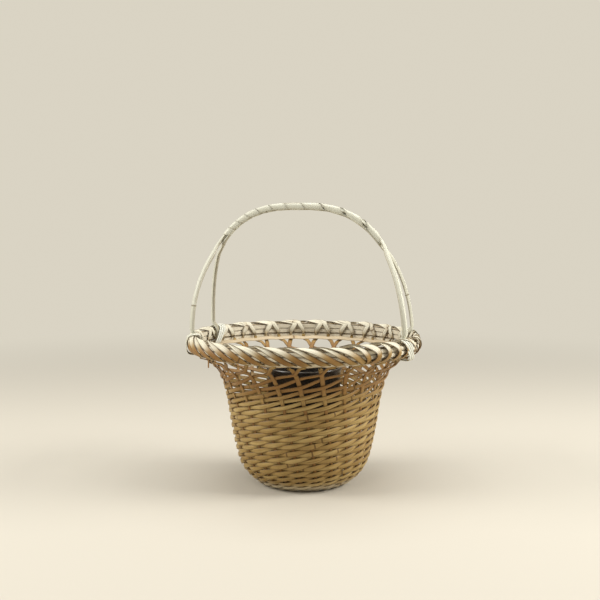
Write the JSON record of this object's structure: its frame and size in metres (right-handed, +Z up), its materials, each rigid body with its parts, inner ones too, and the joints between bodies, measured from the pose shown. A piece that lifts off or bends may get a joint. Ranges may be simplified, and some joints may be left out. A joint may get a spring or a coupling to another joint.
{
  "type": "ikebana basket",
  "caption": "Round woven split-bamboo flower basket with flared openwork neck, rolled border, tall hooped handle and a lift-out dark water cup",
  "frame": {"origin": "middle of the foot, on the surface the basket stands on", "axes": "+Z up; the front faces -Y and the handle runs roughly along X, turned 11.25 degrees clockwise seen from above"},
  "size_m": [0.2332, 0.232, 0.2796],
  "materials": {
    "wall_bamboo": "aged split bamboo, satin",
    "stake_bamboo": "aged split bamboo, satin",
    "weaver_bamboo": "aged split bamboo, satin",
    "rim_bamboo": "aged split bamboo, satin",
    "handle_bamboo": "pale split bamboo, satin",
    "cup_black": "gloss black"
  },
  "bodies": {
    "basket": {"base_weave": "wall_bamboo", "woven_wall": "wall_bamboo", "stake_01": "stake_bamboo", "stake_02": "stake_bamboo", "stake_03": "stake_bamboo", "stake_04": "stake_bamboo", "stake_05": "stake_bamboo", "stake_06": "stake_bamboo", "stake_07": "stake_bamboo", "stake_08": "stake_bamboo", "stake_09": "stake_bamboo", "stake_10": "stake_bamboo", "stake_11": "stake_bamboo", "stake_12": "stake_bamboo", "stake_13": "stake_bamboo", "stake_14": "stake_bamboo", "stake_15": "stake_bamboo", "stake_16": "stake_bamboo", "stake_17": "stake_bamboo", "stake_18": "stake_bamboo", "stake_19": "stake_bamboo", "stake_20": "stake_bamboo", "stake_21": "stake_bamboo", "stake_22": "stake_bamboo", "stake_23": "stake_bamboo", "stake_24": "stake_bamboo", "weaver_01": "weaver_bamboo", "weaver_02": "weaver_bamboo", "weaver_03": "weaver_bamboo", "weaver_04": "weaver_bamboo", "weaver_05": "weaver_bamboo", "weaver_06": "weaver_bamboo", "weaver_07": "weaver_bamboo", "weaver_08": "weaver_bamboo", "weaver_09": "weaver_bamboo", "weaver_10": "weaver_bamboo", "weaver_11": "weaver_bamboo", "weaver_12": "weaver_bamboo", "weaver_13": "weaver_bamboo", "weaver_14": "weaver_bamboo", "weaver_15": "weaver_bamboo", "weaver_16": "weaver_bamboo", "weaver_17": "weaver_bamboo", "weaver_18": "weaver_bamboo", "weaver_19": "weaver_bamboo", "weaver_20": "weaver_bamboo", "weaver_21": "weaver_bamboo", "weaver_22": "weaver_bamboo", "weaver_23": "weaver_bamboo", "weaver_24": "weaver_bamboo", "rim_core_hoop": "rim_bamboo", "waist_hoop": "rim_bamboo", "handle_hoop_front": "handle_bamboo", "handle_hoop_back": "handle_bamboo", "handle_wrap": "handle_bamboo", "foot_lashing_front_right": "handle_bamboo", "foot_lashing_back_right": "handle_bamboo", "foot_lashing_back_left": "handle_bamboo", "foot_lashing_front_left": "handle_bamboo"},
    "cup": {"water_cup": "cup_black"}
  },
  "joints": [
    {"name": "cup_lift", "type": "slide", "parent": "basket", "child": "cup", "axis": [0, 0, 1], "range_m": [0, 0.148]}
  ]
}
